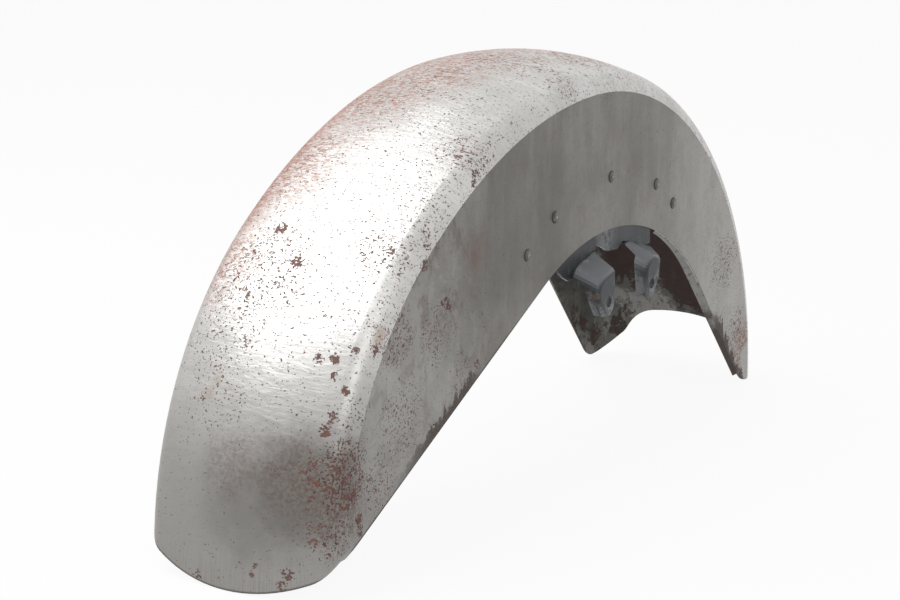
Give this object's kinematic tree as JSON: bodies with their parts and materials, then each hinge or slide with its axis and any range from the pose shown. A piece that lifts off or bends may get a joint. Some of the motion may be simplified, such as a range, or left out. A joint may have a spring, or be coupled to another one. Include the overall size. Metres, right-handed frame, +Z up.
{
  "type": "motorcycle front fender",
  "caption": "Full-skirt steel front fender for a motorcycle, with a rounded crown, flat skirts cut by a wheel arch, and riveted brackets with bolt holes.",
  "frame": {"origin": "centre of the bounding box in X and Y, at the ground line that the rear edge and the front corners stand on", "axes": "+X forward, +Y to the rider's left, +Z up"},
  "size_m": [0.8402, 0.234, 0.3843],
  "materials": {
    "bare_steel": "bare and lightly rusted",
    "primer": "blue-grey primer, chipped",
    "rivet_steel": "dull"
  },
  "bodies": {
    "root": {"fender_shell": "bare_steel", "right_bracket": "primer", "left_bracket": "primer", "right_rivets": "rivet_steel", "left_rivets": "rivet_steel"}
  },
  "joints": []
}
